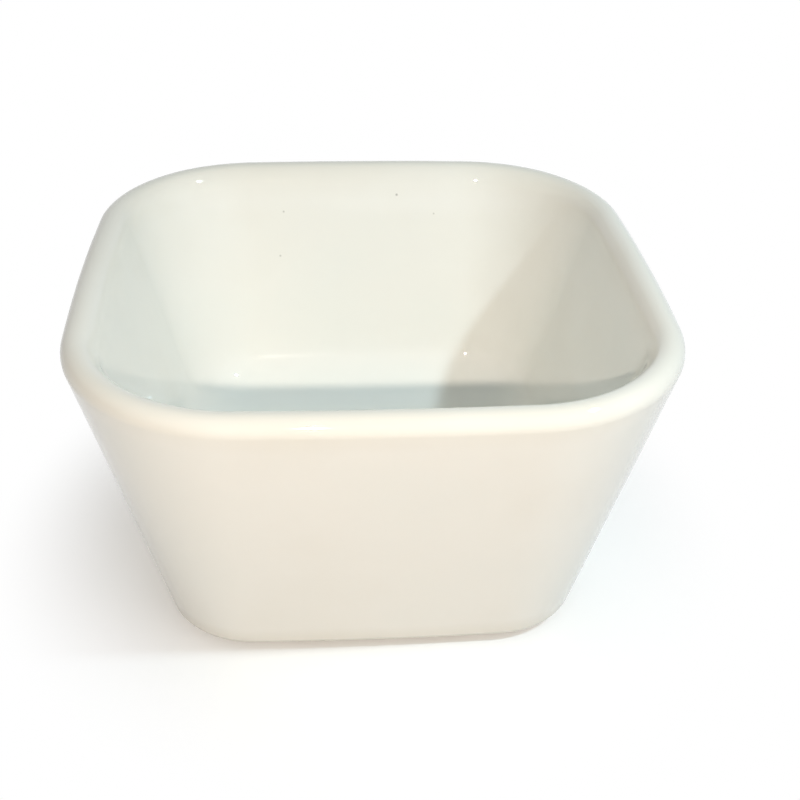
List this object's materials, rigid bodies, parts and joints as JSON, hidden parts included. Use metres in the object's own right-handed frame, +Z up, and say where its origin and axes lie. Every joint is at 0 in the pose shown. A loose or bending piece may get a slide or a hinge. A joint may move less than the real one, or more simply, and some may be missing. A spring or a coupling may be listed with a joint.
{
  "type": "snack bowl",
  "caption": "Square glazed porcelain bowl with leaning walls, large round corners, a round lip and a low bare foot ring, for snacks, dips and small servings.",
  "frame": {"origin": "on the table, under the middle of the bowl", "axes": "+Z up out of the bowl's mouth, X and Y square to its flat walls"},
  "size_m": [0.12, 0.12, 0.067],
  "materials": {
    "bare_porcelain": "matt fired clay, wiped clean of glaze",
    "white_glaze": "glossy ivory white glaze"
  },
  "bodies": {
    "root": {"porcelain_body": "bare_porcelain", "glaze_coat": "white_glaze", "recess_glaze": "white_glaze"}
  },
  "joints": []
}
